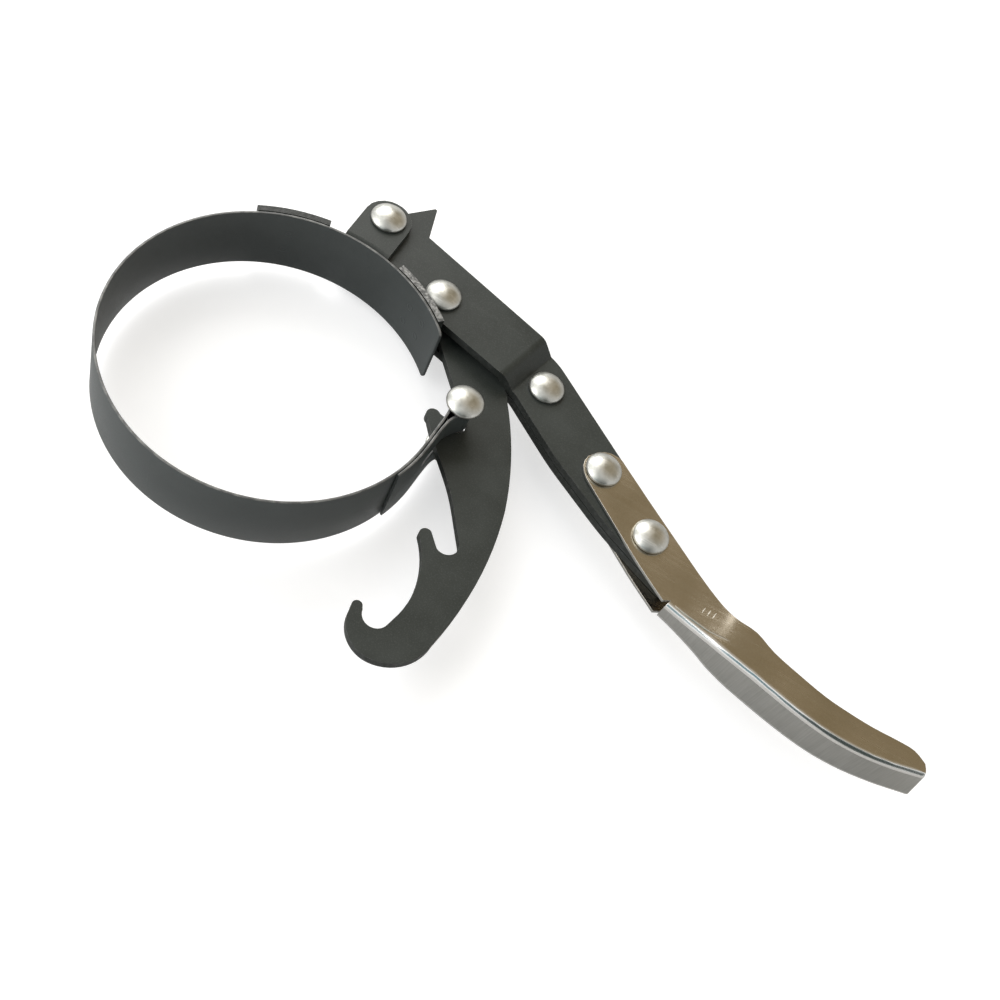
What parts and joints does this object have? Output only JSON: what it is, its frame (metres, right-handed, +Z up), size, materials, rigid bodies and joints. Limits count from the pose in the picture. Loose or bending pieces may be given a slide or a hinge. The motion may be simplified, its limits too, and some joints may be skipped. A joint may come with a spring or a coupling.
{
  "type": "oil filter wrench",
  "caption": "Band-type oil filter wrench: a riveted handle turns on a saddle and pulls a flexible strap closed through a notched hook plate.",
  "frame": {"origin": "on the surface that the tool lies on, under the middle of its bounding box", "axes": "+X along the tool from the strap's loop towards the end of the grip, +Z up along the axis of the loop and of every rivet"},
  "size_m": [0.2414, 0.1288, 0.0268],
  "materials": {
    "strap": "black oxide over rolled spring steel, satin",
    "black_plate": "black oxide over pressed steel, satin",
    "rivet": "zinc plated, satin with fine scratches",
    "spacer": "plain turned steel",
    "grip": "nickel plated, lightly brushed along the web"
  },
  "bodies": {
    "band": {"saddle": "black_plate", "strap_fixed_half": "strap", "pivot_rivet": "rivet"},
    "handle": {"arm_plate_upper": "black_plate", "arm_plate_lower": "black_plate", "pivot_sleeve": "spacer", "hook_rivet": "rivet", "hook_spacer_upper": "spacer", "hook_spacer_lower": "spacer", "arm_rivet": "rivet", "grip_rivet_front": "rivet", "grip_rivet_rear": "rivet", "grip": "grip"},
    "hook": {"hook_plate": "black_plate"},
    "strap_tail": {"strap_free_half": "strap"},
    "pin": {"strap_pin": "rivet"}
  },
  "joints": [
    {"name": "handle_pivot", "type": "hinge", "parent": "band", "child": "handle", "pos_m": [-0.07516, 0.04967, 0.0134], "axis": [0, 0, 1], "range_deg": [0, 22]},
    {"name": "hook_pivot", "type": "hinge", "parent": "handle", "child": "hook", "pos_m": [-0.05056, 0.03767, 0.0134], "axis": [0, 0, 1], "range_deg": [-31, 0]},
    {"name": "strap_flex", "type": "hinge", "parent": "band", "child": "strap_tail", "pos_m": [-0.12031, -0.00823, 0.0134], "axis": [0, 0, 1], "range_deg": [0, 5]},
    {"name": "pin_turn", "type": "hinge", "parent": "strap_tail", "child": "pin", "pos_m": [-0.02916, 0.00717, 0.0134], "axis": [0, 0, 1], "continuous": true}
  ],
  "couplings": [
    {"joint": "hook_pivot", "follows": "handle_pivot", "ratio": -1.365},
    {"joint": "strap_flex", "follows": "handle_pivot", "ratio": 0.2125}
  ]
}
